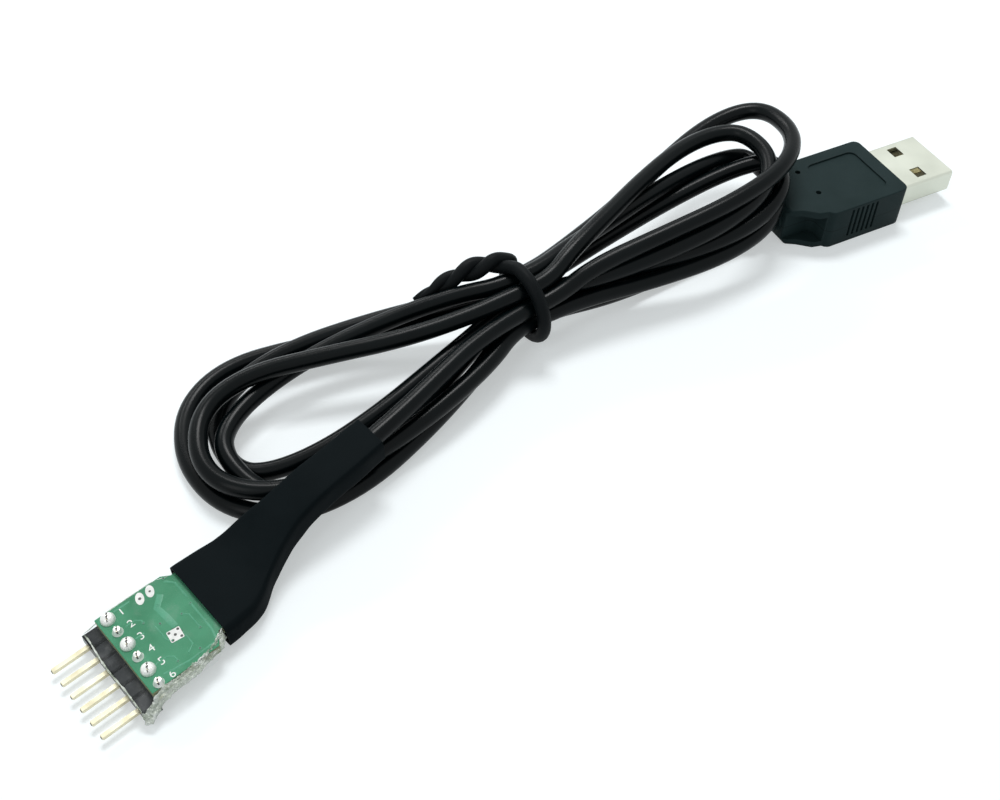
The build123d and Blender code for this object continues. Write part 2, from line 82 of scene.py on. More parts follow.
# Cord: one length from the sleeve, through four turns of the hank, to the plug
cord_d = 3.0
tie_d = 2.4
tie_clearance = 0.01
lane_circle_r = cord_d / 2 / sin(pi / 8) + 0.003
waist_r = lane_circle_r + cord_d / 2
tie_at = (85.1, 10.65)
hank_lean = radians(-10.4)
tie_lift = waist_r + tie_clearance + tie_d
waist_hold = 4.0
loop_steps = 14
lane_turns = {1: 157.5, 2: 22.5, 4: 112.5, 5: 202.5, 6: 67.5, 7: 292.5, 8: 337.5, 9: 247.5}
# each loop: end x, y, lift; bulge on the way out and back; how late each bulge comes; skew
right_loops = [
    (146.9, 10.2, 13.0, 20.0, 12.2, 2.3, 3.8, -0.02),
    (138.8, 9.5, 11.5, 18.0, 9.7, 1.3, 3.2, 0.04),
    (139.6, 8.4, 9.9, 21.8, 4.3, 2.3, 2.3, 0.02),
    (138.6, 1.2, 10.3, 14.0, 7.9, 2.3, 1.6, -0.04),
]
left_loops = [
    (31.6, 17.6, 1.5, 22.3, 8.0, 1.8, 2.4, 0.08),
    (27.6, 21.0, 4.2, 21.0, 16.7, 4.9, 1.2, -0.04),
    (31.2, 19.9, 2.8, 12.0, 21.4, 1.3, 2.3, -0.04),
    (26.9, 24.8, 1.5, 25.3, 25.4, 3.1, 1.6, -0.04),
]
lead_route = [
    (26.3, 2.8, 3.9),
    (30.5, 3.2, 5.7),
    (35.8, 3.3, 7.4),
    (42.0, 3.5, 8.2),
    (48.2, 4.0, 8.5),
    (55.8, 5.1, 8.6),
    (64.0, 6.5, 8.9),
    (70.8, 7.6, 9.2),
]
tail_route = [
    (98.2, 5.5, 3.0),
    (106.5, 4.2, 1.7),
    (114.8, 2.6, 1.6),
]
tail_straight = 7.0

# How the turns settle: each round presses apart what overlaps, lets the cord spring back a little
# toward where it started, and evens it out along its length
settle_rounds = 260
samples_per_point = 5
own_length = 4 * cord_d  # points closer than this along the cord don't press on each other
free_length = 60  # the stretch at each end that stays clear of the sleeve or the plug by itself
sideways = 0.25  # weight of the sideways part of a push
least_rise = 0.1  # least upward part of a push, in cord thicknesses
firmness = 0.6  # share of an overlap with the sleeve or the plug that a round takes away
press = 1.3
spring_back = 0.95
evening = 0.06

# Plug
plug_face = (158.1, -8.3)
plug_heading = radians(-16.6)
boot_height = 8.0
boot_width = 15.8
boot_length = 17.0
boot_back = 30.0
shell_width = 12.0
shell_height = 4.5
shell_seat = 4.0
# where the cord has to lie above the moulding, in the plug's own directions
plug_zone_front = 1
plug_zone_back = -24
plug_zone_side = 9.2
plug_clearance = 0.1

# Sleeve stations: along X, middle Y, middle lift, width, height, corner
sleeve_sections = [
    (14.4, 0.8, 2.72, 14.3, 4.9, 1.30),
    (17.2, 0.9, 2.72, 14.1, 4.9, 1.30),
    (20.4, 1.0, 2.78, 13.6, 4.8, 1.40),
    (23.2, 1.9, 3.10, 11.0, 4.5, 1.70),
    (26.4, 2.9, 3.95, 9.4, 4.8, 1.95),
    (30.3, 3.2, 5.60, 7.2, 4.8, 2.00),
    (35.2, 3.3, 7.35, 6.7, 4.5, 1.90),
    (41.8, 3.5, 8.20, 6.6, 4.2, 1.85),
    (47.7, 4.0, 8.50, 6.4, 4.2, 1.85),
]
# where the cord has to lie clear of the sleeve, along X and to each side of it
sleeve_zone = (14, 49.5)
sleeve_margin = 0.8


def lane(run):
    """Where a run of the cord passes through the middle of the tie: x, y and lift."""
    if run in lane_turns:
        turn = radians(lane_turns[run])
        across, above = lane_circle_r * cos(turn), lane_circle_r * sin(turn)
    else:
        across, above = 0.0, 0.0
    x = tie_at[0] - sin(hank_lean) * across
    y = tie_at[1] + cos(hank_lean) * across
    return (x, y, tie_lift + above)


def beside_tie(run, distance):
    """A point on a run of the cord, this far along the hank from the middle of the tie."""
    x, y, lift = lane(run)
    return (x + cos(hank_lean) * distance, y + sin(hank_lean) * distance, lift)


def plug_point(along, across=0.0, above=0.0):
    """A point in the plug's own directions, from the middle of the moulding's front face."""
    x = plug_face[0] + along * cos(plug_heading) - across * sin(plug_heading)
    y = plug_face[1] + along * sin(plug_heading) + across * cos(plug_heading)
    return (x, y, boot_height / 2 + above)


def loop_points(start, end, shape):
    """Points round one loop of the hank, from one lane out to its end and back to another."""
    tip_x, tip_y, tip_lift, bulge_out, bulge_back, late_out, late_back, skew = shape
    mid = [(a + b) / 2 for a, b in zip(start, end)]
    along = (tip_x - mid[0], tip_y - mid[1])
    reach = hypot(*along)
    side = (along[1] / reach, -along[0] / reach)
    points = []
    for step in range(1, loop_steps):
        t = 2 * pi * step / loop_steps
        out = t < pi
        far = (1 - cos(t)) / 2
        bulge = (bulge_out if out else bulge_back) * sin(t)
        bulge = bulge * abs(sin(t / 2)) ** (late_out if out else late_back)
        pushed = far + skew * sin(t) * far
        near_lane = start if out else end
        back = 1 - far
        x = mid[0] + along[0] * pushed + side[0] * bulge + back * (near_lane[0] - mid[0])
        y = mid[1] + along[1] * pushed + side[1] * bulge + back * (near_lane[1] - mid[1])
        points.append((x, y, back * near_lane[2] + far * tip_lift))
    return points


def hank_route():
    """The cord's points above the table, and which of them stay where they are."""
    route = [(p, True) for p in lead_route]
    for run in range(1, 10):
        forward = 1 if run % 2 else -1
        route.append((beside_tie(run, -waist_hold * forward), True))
        route.append((beside_tie(run, waist_hold * forward), True))
        if run < 9:
            shape = (right_loops if run % 2 else left_loops)[(run - 1) // 2]
            for x, y, lift in loop_points(lane(run), lane(run + 1), shape):
                from_tie = (x - tie_at[0]) * cos(hank_lean) + (y - tie_at[1]) * sin(hank_lean)
                if abs(from_tie) > 2 * waist_hold:
                    route.append(((x, y, lift), False))
    route += [(p, True) for p in tail_route]
    route += [(plug_point(-boot_back - tail_straight), True), (plug_point(-boot_back), True)]
    return np.array([p for p, _ in route]), np.array([kept for _, kept in route])


def spline_weights(count, samples):
    """How much each control point moves each sample of a clamped spline of order 3."""
    knots = [0] * 3 + list(range(1, count - 2)) + [count - 2] * 3
    places = np.linspace(0, count - 2, (count - 2) * samples + 1)
    weights = np.zeros((len(places), count))
    for row, u in enumerate(places):
        i = min(int(u), count - 3) + 2
        left = (knots[i + 1] - u) / (knots[i + 1] - knots[i])
        right = 1 - left
        weights[row, i - 2] = left * (knots[i + 1] - u) / (knots[i + 1] - knots[i - 1])
        weights[row, i - 1] = left * (u - knots[i - 1]) / (knots[i + 1] - knots[i - 1])
        weights[row, i - 1] += right * (knots[i + 2] - u) / (knots[i + 2] - knots[i])
        weights[row, i] = right * (u - knots[i]) / (knots[i + 2] - knots[i])
    return weights


def settle(points, kept):
    """Presses the turns apart until they lie on each other, on the table and round the rest."""
    weights = spline_weights(len(points), samples_per_point)
    share = weights.sum(0)[:, None]
    free = (~kept)[:, None].astype(float)
    start = points.copy()
    line = weights @ points
    run = np.r_[0, np.cumsum(np.linalg.norm(np.diff(line, axis=0), axis=1))]
    apart = np.triu(np.abs(run[:, None] - run[None, :]) > own_length, 1)
    sleeve = np.array(sleeve_sections)
    for _ in range(settle_rounds):
        line = weights @ points
        between = line[:, None, :] - line[None, :, :]
        near = (np.linalg.norm(between, axis=2) < cord_d) & apart
        first, second = np.where(near)
        push = np.zeros_like(line)
        hits = np.ones(len(line))
        if len(first):
            away = between[first, second]
            gap = cord_d - np.linalg.norm(away, axis=1)
            away = away * (sideways, sideways, 1.0)
            up = np.where(away[:, 2] < 0, -1.0, 1.0)
            away[:, 2] = up * np.maximum(np.abs(away[:, 2]), least_rise * cord_d)
            away = away / np.linalg.norm(away, axis=1)[:, None] * gap[:, None] / 2
            np.add.at(push, first, away)
            np.add.at(push, second, -away)
            np.add.at(hits, first, 1)
            np.add.at(hits, second, 1)
            push = push / np.maximum(hits - 1, 1)[:, None]
        # under the sleeve
        middle_y, lift, width, height = (
            np.interp(line[:, 0], sleeve[:, 0], sleeve[:, k]) for k in (1, 2, 3, 4)
        )
        under = (line[:, 0] > sleeve_zone[0]) & (line[:, 0] < sleeve_zone[1]) & (run > free_length)
        under &= np.abs(line[:, 1] - middle_y) < width / 2 + sleeve_margin
        depth = (height + cord_d) / 2 - np.abs(line[:, 2] - lift)
        push[:, 2] -= np.where(under & (depth > 0), firmness * depth, 0)
        # over the plug's moulding
        dx, dy = line[:, 0] - plug_face[0], line[:, 1] - plug_face[1]
        along = dx * cos(plug_heading) + dy * sin(plug_heading)
        across = dy * cos(plug_heading) - dx * sin(plug_heading)
        over = (along < plug_zone_front) & (along > plug_zone_back)
        over &= (np.abs(across) < plug_zone_side) & (run < run[-1] - free_length)
        climb = boot_height + cord_d / 2 + plug_clearance - line[:, 2]
        push[:, 2] += np.where(over & (climb > 0), firmness * climb, 0)
        # on the table
        push[:, 2] += np.maximum(cord_d / 2 - line[:, 2], 0)
        points = points + (weights.T @ push) / share * press * free
        moved = points - start
        moved[:, :2] *= spring_back
        moved[1:-1] += evening * ((moved[:-2] + moved[2:]) / 2 - moved[1:-1]) * free[1:-1]
        points = start + moved
        points[:, 2] = np.maximum(points[:, 2], cord_d / 2)
    return points


# Finishes

def calc(tree, operation, *values, clamp=False):
    """The output of a maths node; each value is a number or the output of another node."""
    node = tree.nodes.new("ShaderNodeMath")
    node.operation = operation
    node.use_clamp = clamp
    for socket, value in zip(node.inputs, values):
        if isinstance(value, float):
            socket.default_value = value
        else:
            tree.links.new(value, socket)
    return node.outputs[0]


def group_of(name, inputs, outputs):
    """An empty node group with named number inputs and outputs."""
    group = bpy.data.node_groups.new(name, "ShaderNodeTree")
    for label, value in inputs.items():
        socket = group.interface.new_socket(label, in_out="INPUT", socket_type="NodeSocketFloat")
        socket.default_value = value
    for label in outputs:
        group.interface.new_socket(label, in_out="OUTPUT", socket_type="NodeSocketFloat")
    return group, group.nodes.new("NodeGroupInput"), group.nodes.new("NodeGroupOutput")


def make_grain():
    """Fine grain as a height, and slow blotches as a mask, both of a given size in metres."""
    sizes = {"Grain": 0.0003, "Blotch": 0.004}
    group, given, result = group_of("moulded_grain", sizes, ["Height", "Blotches"])
    place = group.nodes.new("ShaderNodeTexCoord")
    for size, label, detail in (("Grain", "Height", 3.0), ("Blotch", "Blotches", 4.0)):
        scale = calc(group, "DIVIDE", 1.0, given.outputs[size])
        noise = group.nodes.new("ShaderNodeTexNoise")
        noise.inputs["Detail"].default_value = detail
        group.links.new(place.outputs["Object"], noise.inputs["Vector"])
        group.links.new(scale, noise.inputs["Scale"])
        group.links.new(noise.outputs["Fac"], result.inputs[label])
    return group


def make_band():
    """One inside a band of an object's own coordinate, zero outside it, with soft edges."""
    names = {"Value": 0.0, "From": 0.0, "To": 1.0, "Soft": 0.0001}
    group, given, result = group_of("band_mask", names, ["Mask"])
    edges = []
    for first, second in (("Value", "From"), ("To", "Value")):
        ramp = calc(group, "SUBTRACT", given.outputs[first], given.outputs[second])
        edges.append(calc(group, "DIVIDE", ramp, given.outputs["Soft"], clamp=True))
    group.links.new(calc(group, "MULTIPLY", *edges), result.inputs["Mask"])
    return group


grain_group = make_grain()
band_group = make_band()


class Finish:
    """A material being built: its shader, and the colour that its base is made of so far."""

    def __init__(self, name, colour, other, rough, bump=0.0, grain=0.3, blotch=4.0, metallic=0.0):
        self.material = bpy.data.materials.new(name)
        self.material.use_nodes = True
        self.nodes = self.material.node_tree.nodes
        self.links = self.material.node_tree.links
        self.shader = self.nodes["Principled BSDF"]
        self.shader.inputs["Metallic"].default_value = metallic
        self.grain = self.nodes.new("ShaderNodeGroup")
        self.grain.node_tree = grain_group
        self.grain.inputs["Grain"].default_value = grain * MM
        self.grain.inputs["Blotch"].default_value = blotch * MM
        spread = self.spread(self.grain.outputs["Blotches"], 0.35, 0.65, 0.0, 1.0)
        self.colour = self.mix(spread, (*colour, 1), (*other, 1))
        gloss = self.spread(self.grain.outputs["Blotches"], 0.3, 0.7, *rough)
        self.links.new(gloss, self.shader.inputs["Roughness"])
        if bump:
            relief = self.nodes.new("ShaderNodeBump")
            relief.inputs["Strength"].default_value = 1.0
            relief.inputs["Distance"].default_value = bump * MM
            self.links.new(self.grain.outputs["Height"], relief.inputs["Height"])
            self.links.new(relief.outputs["Normal"], self.shader.inputs["Normal"])
        self.use()

    def use(self):
        """Sends the colour made so far to the shader."""
        self.links.new(self.colour, self.shader.inputs["Base Color"])

    def spread(self, value, low, high, to_low, to_high):
        """A value stretched from one range to another."""
        node = self.nodes.new("ShaderNodeMapRange")
        self.links.new(value, node.inputs["Value"])
        labels = ("From Min", "From Max", "To Min", "To Max")
        for label, number in zip(labels, (low, high, to_low, to_high)):
            node.inputs[label].default_value = number
        return node.outputs["Result"]

    def mix(self, mask, first, second):
        """Two colours mixed by a mask; each is a colour or the output of a node."""
        node = self.nodes.new("ShaderNodeMix")
        node.data_type = "RGBA"
        self.links.new(mask, node.inputs[0])
        for socket, colour in ((node.inputs[6], first), (node.inputs[7], second)):
            if isinstance(colour, tuple):
                socket.default_value = colour
            else:
                self.links.new(colour, socket)
        return node.outputs[2]

    def place(self, axis):
        """The object's own coordinate along an axis."""
        parts = self.nodes.new("ShaderNodeSeparateXYZ")
        source = self.nodes.new("ShaderNodeTexCoord")
        self.links.new(source.outputs["Object"], parts.inputs[0])
        return parts.outputs[axis]

    def band(self, value, start, end, soft=0.1):
        """A mask that is one where the value is between two places, in millimetres."""
        node = self.nodes.new("ShaderNodeGroup")
        node.node_tree = band_group
        self.links.new(value, node.inputs["Value"])
        for label, number in (("From", start), ("To", end), ("Soft", soft)):
            node.inputs[label].default_value = number * MM
        return node.outputs["Mask"]

    def paint(self, mask, colour):
        """Lays a colour over the base where the mask is one."""
        self.colour = self.mix(mask, self.colour, (*colour, 1))
        self.use()
        return self

    def set(self, **values):
        """Sets plain values on the shader; spaces in their names are underscores here."""
        for label, value in values.items():
            self.shader.inputs[label.replace("_", " ")].default_value = value
        return self


# Each one: its colour in two shades, roughness from and to, then in millimetres the depth of its
# grain, the size of the grain and that of the blotches, and last how metallic it is
housing_black = Finish(
    "housing_black", (0.012, 0.015, 0.017), (0.02, 0.024, 0.027), (0.22, 0.4), 0.01, 0.2, 2.5,
)
housing_black.set(Specular_IOR_Level=0.16)
pin_gold = Finish(
    "pin_gold", (0.74, 0.68, 0.48), (0.82, 0.77, 0.58), (0.22, 0.34), 0.003, 0.15, 3.0, 0.8,
)
# Painted shade: the pin ends are painted nearly black, where their end facets fall dark
pin_tip_shade = pin_gold.band(pin_gold.place("X"), -pin_reach - 1, -pin_reach + 0.1, 0.03)
pin_gold.paint(pin_tip_shade, (0.05, 0.045, 0.03))
board_green = Finish(
    "board_green", (0.038, 0.215, 0.108), (0.062, 0.285, 0.155), (0.3, 0.42), 0.006, 0.35, 5.0,
)
board_green.set(Specular_IOR_Level=0.1)
board_height = board_green.place("Z")
board_core = board_green.band(board_height, board_bottom_z + 0.08, board_top_z - 0.08, 0.03)
board_green.paint(board_core, (0.33, 0.36, 0.2))
track_green = Finish(
    "track_green", (0.07, 0.3, 0.175), (0.095, 0.36, 0.22), (0.25, 0.4), 0.004, 0.3, 3.0,
)
track_green.set(Specular_IOR_Level=0.15)
solder_silver = Finish(
    "solder_silver", (0.84, 0.85, 0.82), (0.93, 0.94, 0.91), (0.22, 0.4), 0.008, 0.5, 0.9, 0.25,
)
# Painted shade: a near-black finish for the solder joints' slots, the pads' holes and the vias'
# middles, where shade falls
painted_shade = Finish(
    "painted_shade", (0.03, 0.03, 0.028), (0.06, 0.055, 0.05), (0.4, 0.6), 0.01, 0.1, 0.5,
)
pad_tin = Finish("pad_tin", (0.76, 0.77, 0.75), (0.88, 0.88, 0.86), (0.2, 0.4), 0.006, 0.3, 1.2)
number_white = Finish(
    "number_white", (0.78, 0.82, 0.78), (0.88, 0.9, 0.87), (0.45, 0.6), 0.01, 0.15, 1.0,
)
chip_black = Finish(
    "chip_black", (0.012, 0.012, 0.013), (0.02, 0.02, 0.02), (0.5, 0.65), 0.012, 0.12, 1.5,
)
lead_tin = Finish(
    "lead_tin", (0.6, 0.6, 0.58), (0.75, 0.75, 0.72), (0.25, 0.45), 0.006, 0.2, 1.0, 1.0,
)
crystal_steel = Finish(
    "crystal_steel", (0.62, 0.6, 0.55), (0.74, 0.72, 0.68), (0.2, 0.35), 0.004, 0.2, 1.5, 1.0,
)
capacitor_tan = Finish(
    "capacitor_tan", (0.36, 0.2, 0.09), (0.45, 0.27, 0.13), (0.35, 0.5), 0.006, 0.15, 0.8,
)
capacitor_ends = capacitor_tan.spread(capacitor_tan.grain.outputs["Height"], 0.62, 0.7, 0.0, 0.35)
capacitor_tan.paint(capacitor_ends, (0.6, 0.58, 0.54))
sleeve_black = Finish(
    "sleeve_black", (0.0032, 0.0056, 0.0066), (0.005, 0.0078, 0.009), (0.58, 0.72), 0.02, 0.16, 6.0,
)
sleeve_black.set(Specular_IOR_Level=0.03)
cord_black = Finish(
    "cord_black", (0.0004, 0.0016, 0.002), (0.001, 0.0028, 0.0033), (0.25, 0.32), 0.0012, 2.2, 9.0,
)
cord_black.set(Specular_IOR_Level=0.115)
tie_black = Finish(
    "tie_black", (0.003, 0.0042, 0.005), (0.005, 0.0065, 0.0072), (0.45, 0.58), 0.012, 0.2, 3.0,
)
tie_black.set(Specular_IOR_Level=0.07)
boot_charcoal = Finish(
    "boot_charcoal", (0.014, 0.026, 0.0265), (0.018, 0.031, 0.032), (0.42, 0.55), 0.02, 0.14, 5.0,
)
boot_charcoal.set(Specular_IOR_Level=0.045)
# Painted shade: a thin darker band along the moulding's parting line, where its small ledge falls
# dark
parting_z = table_z + boot_height / 2 - 0.35
parting_shade = boot_charcoal.band(boot_charcoal.place("Z"), parting_z, parting_z + 0.14, 0.04)
boot_charcoal.paint(parting_shade, (0.008, 0.011, 0.011))
shell_nickel = Finish(
    "shell_nickel", (0.6, 0.615, 0.53), (0.63, 0.645, 0.56), (0.3, 0.36), 0.0015, 0.25, 6.0, 1.0,
)
insulator_white = Finish(
    "insulator_white", (0.34, 0.31, 0.2), (0.42, 0.38, 0.26), (0.4, 0.55), 0.008, 0.2, 3.0,
)
contact_gold = Finish(
    "contact_gold", (0.6, 0.5, 0.28), (0.68, 0.58, 0.36), (0.18, 0.32), 0.004, 0.2, 2.0, 1.0,
)
wire_colours = {
    "red": ((0.42, 0.012, 0.01), (0.5, 0.02, 0.015)),
    "white": ((0.72, 0.72, 0.69), (0.8, 0.8, 0.77)),
    "green": ((0.012, 0.2, 0.05), (0.02, 0.26, 0.07)),
    "black": ((0.008, 0.008, 0.008), (0.014, 0.014, 0.014)),
}
wire_finishes = {
    name: Finish(f"wire_{name}", first, second, (0.32, 0.45), 0.004, 0.2, 2.0)
    for name, (first, second) in wire_colours.items()
}

# Clear film: nearly invisible face on, with a painted reflection that makes it paler where it turns
# away, and paler where it is creased
film_clear = Finish(
    "film_clear", (0.86, 0.9, 0.88), (0.94, 0.96, 0.95), (0.08, 0.2), 0.03, 0.9, 2.2,
)
facing = film_clear.nodes.new("ShaderNodeLayerWeight")
facing.inputs["Blend"].default_value = 0.22
creases = film_clear.spread(film_clear.grain.outputs["Blotches"], 0.55, 0.75, 0.01, 0.07)
film_tree = film_clear.material.node_tree
# The facing part of the veil is a painted reflection
veil = calc(film_tree, "MULTIPLY_ADD", facing.outputs["Facing"], 0.12, creases, clamp=True)
film_clear.links.new(veil, film_clear.shader.inputs["Alpha"])

# Gathered film: the same plastic folded on itself, whitish with clear gaps
film_gathered = Finish(
    "film_gathered", (0.52, 0.6, 0.47), (0.86, 0.9, 0.85), (0.12, 0.3), 0.02, 0.5, 1.3,
)
gaps = film_gathered.spread(film_gathered.grain.outputs["Blotches"], 0.35, 0.6, 0.3, 0.8)
film_gathered.links.new(gaps, film_gathered.shader.inputs["Alpha"])

node_finishes = {
    "header_housing": housing_black,
    "circuit_board": board_green,
    "chip_body": chip_black,
    "chip_leads": lead_tin,
    "crystal": crystal_steel,
    "capacitors": capacitor_tan,
    "wire_joints": solder_silver,
    "plug_shell": shell_nickel,
    "plug_insulator": insulator_white,
}
node_finishes.update({f"header_pin_{i}": pin_gold for i in range(1, pin_count + 1)})
node_finishes.update({f"plug_contact_{i}": contact_gold for i in range(1, 5)})
node_finishes.update({f"wire_{name}": finish for name, finish in wire_finishes.items()})
for name, finish in node_finishes.items():
    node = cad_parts[name]
    if not node.material_slots:
        node.data.materials.append(finish.material)
    for slot in node.material_slots:
        slot.material = finish.material


# Ways of working that the pieces share

def deselect():
    """Leaves edit mode and lets go of everything."""
    if bpy.context.mode != "OBJECT":
        bpy.ops.object.mode_set(mode="OBJECT")
    bpy.ops.object.select_all(action="DESELECT")


def edit():
    """Brings a new primitive's place into its mesh and opens it for shaping, all of it selected."""
    bpy.ops.object.transform_apply(location=True, rotation=True, scale=True)
    bpy.ops.object.mode_set(mode="EDIT")
    bpy.ops.mesh.select_all(action="SELECT")


def select_faces(test):
    """Selects the faces whose middle, in millimetres, and normal pass a test."""
    bpy.ops.mesh.select_mode(type="FACE")
    bpy.ops.mesh.select_all(action="DESELECT")
    mesh = bmesh.from_edit_mesh(bpy.context.object.data)
    for face in mesh.faces:
        face.select_set(bool(test(face.calc_center_median() / MM, face.normal)))
    bmesh.update_edit_mesh(bpy.context.object.data)


def take(*pieces):
    """Selects these pieces alone, with the first as the current object."""
    deselect()
    for piece in pieces:
        piece.select_set(True)
    bpy.context.view_layer.objects.active = pieces[0]


def joined(*pieces):
    """Joins pieces into the first of them."""
    take(*pieces)
    bpy.ops.object.join()


def extrude(step):
    """Draws what is selected out by a step, in metres."""
    bpy.ops.mesh.extrude_region_move(TRANSFORM_OT_translate={"value": step})


def face_outwards():
    """Turns all faces of the open mesh outwards."""
    bpy.ops.mesh.select_all(action="SELECT")
    bpy.ops.mesh.normals_make_consistent(inside=False)


def modify(kind, **values):
    """Adds a modifier to the current object and applies it."""
    piece = bpy.context.object
    modifier = piece.modifiers.new(kind.lower(), kind)
    for name, value in values.items():
        setattr(modifier, name, value)
    bpy.ops.object.modifier_apply(modifier=modifier.name)


def block(size, at, corner=0.0, corner_axis="Z", corner_steps=4):
    """A block open for shaping, with the edges along one axis rounded."""
    deselect()
    bpy.ops.mesh.primitive_cube_add(size=MM, location=Vector(at) * MM)
    bpy.context.object.scale = size
    edit()
    if corner:
        axis = Vector([letter == corner_axis for letter in "XYZ"])
        bpy.ops.mesh.select_mode(type="EDGE")
        bpy.ops.mesh.select_all(action="DESELECT")
        mesh = bmesh.from_edit_mesh(bpy.context.object.data)
        for edge in mesh.edges:
            run = (edge.verts[1].co - edge.verts[0].co).normalized()
            edge.select_set(abs(run.dot(axis)) > 0.9)
        bmesh.update_edit_mesh(bpy.context.object.data)
        bpy.ops.mesh.bevel(offset=corner * MM, segments=corner_steps, affect="EDGES")


def disc(at, radius, corners, turn=(0, 0, 0)):
    """A flat round face open for shaping; its place is in metres."""
    deselect()
    bpy.ops.mesh.primitive_circle_add(
        vertices=corners, radius=radius * MM, fill_type="NGON", location=at, rotation=turn,
    )
    edit()


def cut(piece):
    """Takes the current object's shape out of a piece."""
    tool = bpy.context.object
    take(piece)
    modify("BOOLEAN", object=tool, operation="DIFFERENCE", solver="EXACT")
    bpy.data.objects.remove(tool)


def two_finishes(piece, finish, inner):
    """Gives a piece its finish, and another one to its selected faces, and ends its shaping."""
    piece.data.materials.append(finish.material)
    piece.data.materials.append(inner.material)
    piece.active_material_index = 1
    bpy.ops.object.material_slot_assign()
    bpy.ops.object.mode_set(mode="OBJECT")


def crumple(name, size, strength, middle=0.5):
    """Gives the current object a soft random relief; size and strength are in millimetres."""
    relief = bpy.data.textures.new(name, "CLOUDS")
    relief.noise_scale = size * MM
    relief.noise_depth = 2
    modify(
        "DISPLACE", texture=relief, texture_coords="LOCAL",
        strength=strength * MM, mid_level=middle,
    )


def round_line(name, places, thickness, kind="NURBS", along=8, around=6):
    """A round line on one spline whose points are these places, in metres."""
    curve = bpy.data.curves.new(name, "CURVE")
    curve.dimensions = "3D"
    spline = curve.splines.new(kind)
    spline.points.add(len(places) - 1)
    for point, place in zip(spline.points, places):
        point.co = (*place, 1)
    if kind == "NURBS":
        spline.order_u = 3
        spline.use_endpoint_u = True
        spline.resolution_u = along
    curve.bevel_depth = thickness / 2 * MM
    curve.bevel_resolution = around
    curve.use_fill_caps = True
    piece = bpy.data.objects.new(name, curve)
    bpy.context.collection.objects.link(piece)
    return piece


def finished(name, finish, slot, *nodes, smooth=35):
    """Names the current object, smooths it, gives it its finish and ties it to the row."""
    if bpy.context.mode != "OBJECT":
        bpy.ops.object.mode_set(mode="OBJECT")
    piece = bpy.context.object
    piece.name = piece.data.name = name
    if not piece.data.materials:
        piece.data.materials.append(finish.material)
    if smooth:
        bpy.ops.object.shade_smooth_by_angle(angle=radians(smooth))
    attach(piece, "root")
    if nodes:
        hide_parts(*nodes)
    deselect()
    return piece


def shrunk_tube(stations, corner_steps=3):
    """An open tube drawn through its stations, along X; it stays open for shaping."""
    x, y, lift, width, height, corner = stations[0]
    middle = Vector(lifted((x, y, lift))) * MM
    deselect()
    bpy.ops.mesh.primitive_plane_add(size=MM, location=middle, rotation=(0, pi / 2, 0))
    edit()
    bpy.ops.transform.resize(value=(1, width, height), center_override=middle)
    bpy.ops.mesh.bevel(offset=corner * MM, segments=corner_steps, affect="VERTICES")
    bpy.ops.mesh.select_all(action="SELECT")
    for before, after in zip(stations, stations[1:]):
        step = (Vector(after[:3]) - Vector(before[:3])) * MM
        extrude(step)
        middle = middle + step
        grown = (1, after[3] / before[3], after[4] / before[4])
        bpy.ops.transform.resize(value=grown, center_override=middle)
    face_outwards()
    ends = (stations[0][0], stations[-1][0])
    select_faces(
        lambda at, normal: abs(normal.x) > 0.9 and min(abs(at.x - end) for end in ends) < 0.05
    )
    bpy.ops.mesh.delete(type="ONLY_FACE")


# Black sleeve: shrunk over the film's end, the board's corners and the cord
shrunk_tube(sleeve_sections)
bpy.ops.object.mode_set(mode="OBJECT")
modify("SUBSURF", levels=3, render_levels=3)
crumple("sleeve_dents", 5.0, 0.3)
modify("SOLIDIFY", thickness=0.4 * MM, offset=-1)
finished("shrink_sleeve", sleeve_black, "sleeve_black", "black_sleeve")

# Clear film over the header and the board
film_stations = [
    # along X, middle Y, middle lift, width, height, corner
    (0.22, 0.0, 1.48, 15.6, 2.92, 0.45),
    (1.5, 0.0, 1.52, 15.6, 2.98, 0.45),
    (2.5, 0.1, 2.3, 15.3, 4.5, 0.45),
    (3.1, 0.2, 2.65, 15.0, 5.2, 0.45),
    (4.4, 0.2, 3.0, 15.0, 4.5, 0.45),
    (5.6, 0.2, 2.9, 15.0, 3.75, 0.45),
    (7.2, 0.2, 2.77, 15.0, 3.5, 0.45),
    (10.0, 0.2, 2.77, 15.0, 3.5, 0.45),
    (12.5, 0.2, 2.77, 15.0, 3.5, 0.45),
    (14.0, 0.8, 2.77, 12.3, 3.5, 0.45),
    (16.2, 0.8, 2.77, 12.2, 3.5, 0.45),
]
shrunk_tube(film_stations)
bpy.ops.object.mode_set(mode="OBJECT")
modify("SUBSURF", levels=3, render_levels=3)
crumple("film_ripples", 1.6, 0.16, middle=0.7)
finished("shrink_film", film_clear, "film_clear", "clear_film", smooth=60)

# The film's gathered seam along the near edge, wider where it bunches up
seam_line = [
    # x, y, lift, width
    (14.2, -5.7, 3.9, 0.8),
    (13.0, -6.6, 3.9, 1.0),
    (11.6, -7.1, 3.8, 0.8),
    (10.2, -7.3, 3.7, 0.8),
    (8.8, -7.6, 3.7, 1.1),
    (7.6, -7.7, 3.7, 1.0),
    (6.4, -7.8, 3.7, 1.0),
    (5.2, -7.8, 3.7, 1.0),
    (4.0, -7.7, 3.6, 1.2),
    (2.8, -7.8, 3.0, 1.1),
    (1.6, -8.2, 2.3, 1.3),
    (0.4, -8.4, 1.7, 1.4),
    (-0.2, -8.0, 1.5, 0.8),
]
seam_x, seam_y, seam_lift, seam_width = zip(*seam_line[::-1])
seam_mid_y = -7.4
seam_length = 14.4
seam_thickness = 0.35
seam_tilt = 1.1
deselect()
seam_middle = Vector(lifted((7.0, seam_mid_y, 2.8))) * MM
bpy.ops.mesh.primitive_grid_add(
    x_subdivisions=120, y_subdivisions=12, size=MM, location=seam_middle,
)
edit()
bpy.ops.transform.resize(value=(seam_length, 1, 1), center_override=seam_middle)
extrude((0, 0, seam_thickness * MM))
bpy.ops.object.mode_set(mode="OBJECT")
